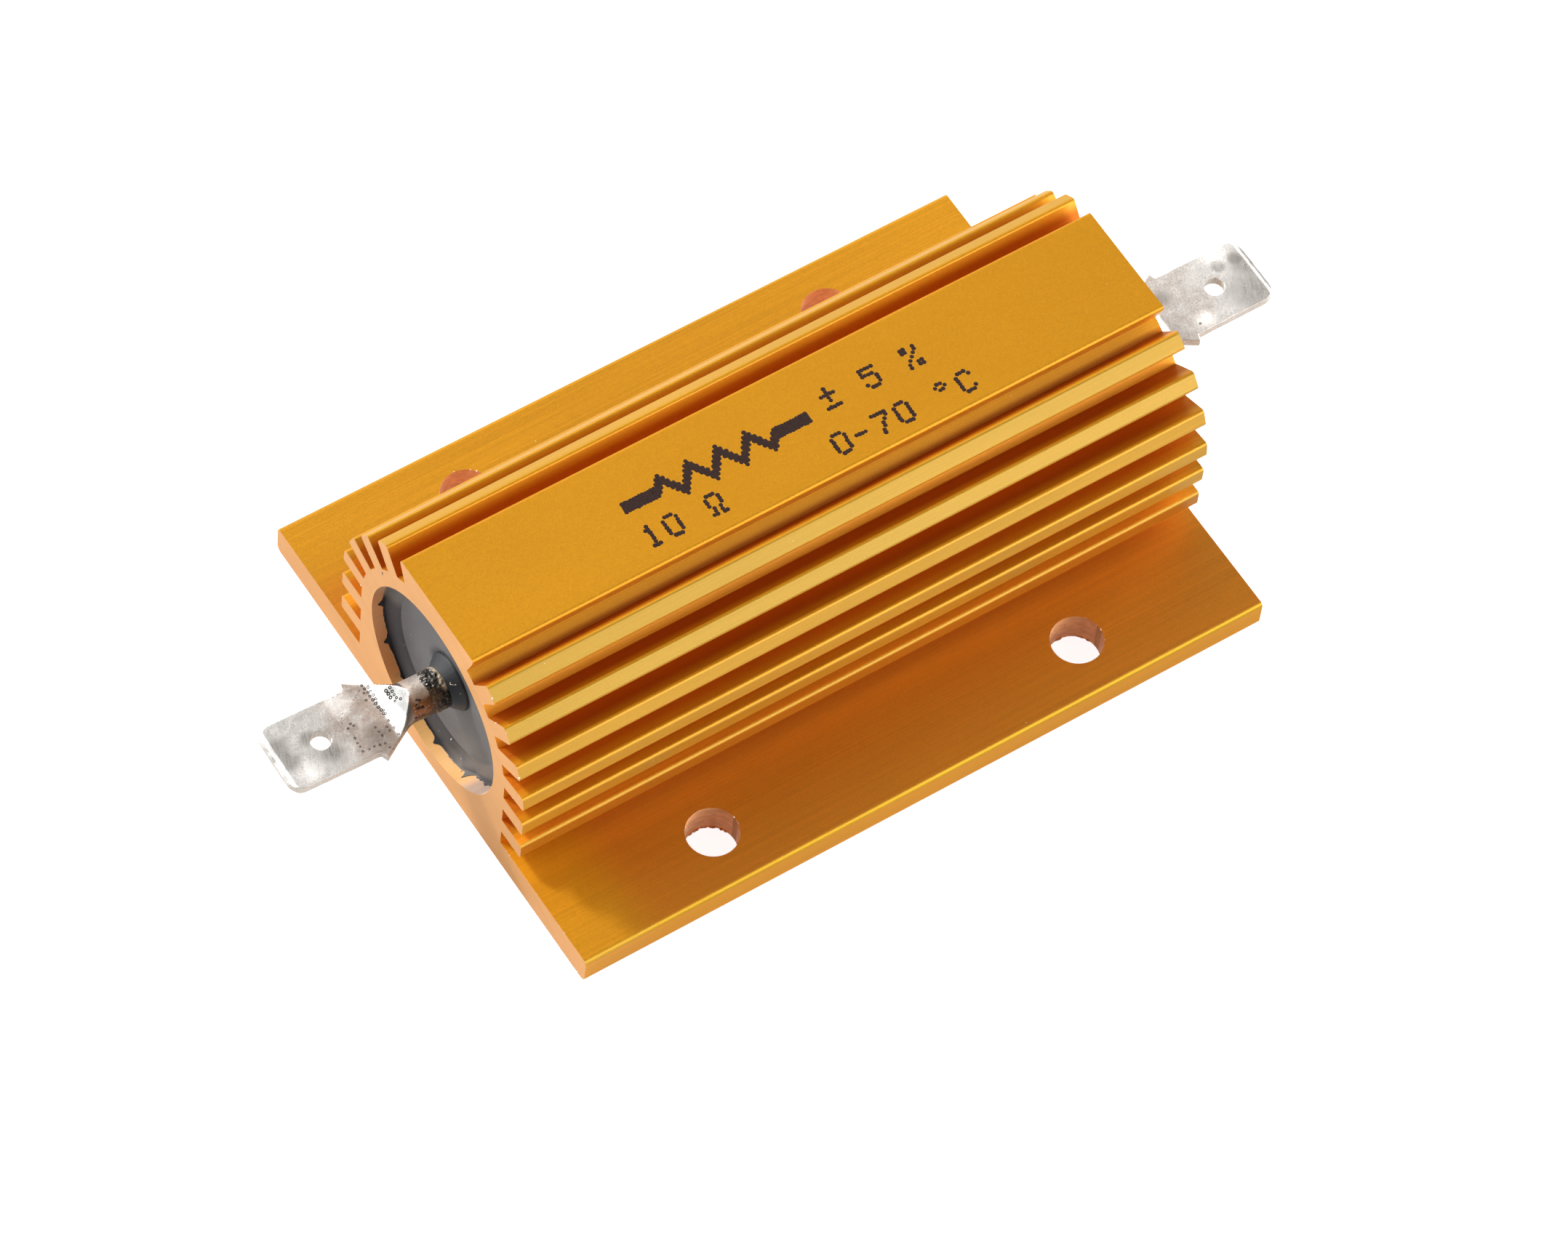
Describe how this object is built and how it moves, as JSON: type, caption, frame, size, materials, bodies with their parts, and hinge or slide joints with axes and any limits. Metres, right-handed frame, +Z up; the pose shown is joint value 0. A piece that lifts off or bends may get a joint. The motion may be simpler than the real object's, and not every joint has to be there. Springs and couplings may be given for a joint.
{
  "type": "aluminium housed resistor",
  "caption": "Wirewound power resistor cast in a finned aluminium extrusion with a drilled mounting flange and a push-on tab at each end.",
  "frame": {"origin": "centre of the flange's underside", "axes": "+X along the extrusion towards the right terminal, +Y across the flange, +Z up away from the mounting face"},
  "size_m": [0.0936, 0.0468, 0.0231],
  "materials": {
    "anodised_aluminium": "satin gold anodised, sawn ends",
    "grey_compound": "matt moulded compound",
    "core_ceramic": "unglazed",
    "resistance_alloy": "drawn ribbon",
    "cap_steel": "pressed and plated",
    "tinned_terminal": "tinned, stained"
  },
  "bodies": {
    "root": {"housing": "anodised_aluminium", "moulding": "grey_compound", "ceramic_core": "core_ceramic", "resistance_winding": "resistance_alloy", "end_cap_left": "cap_steel", "end_cap_right": "cap_steel", "lead_pin_left": "cap_steel", "lead_pin_right": "cap_steel", "terminal_left": "tinned_terminal", "terminal_right": "tinned_terminal"}
  },
  "joints": []
}
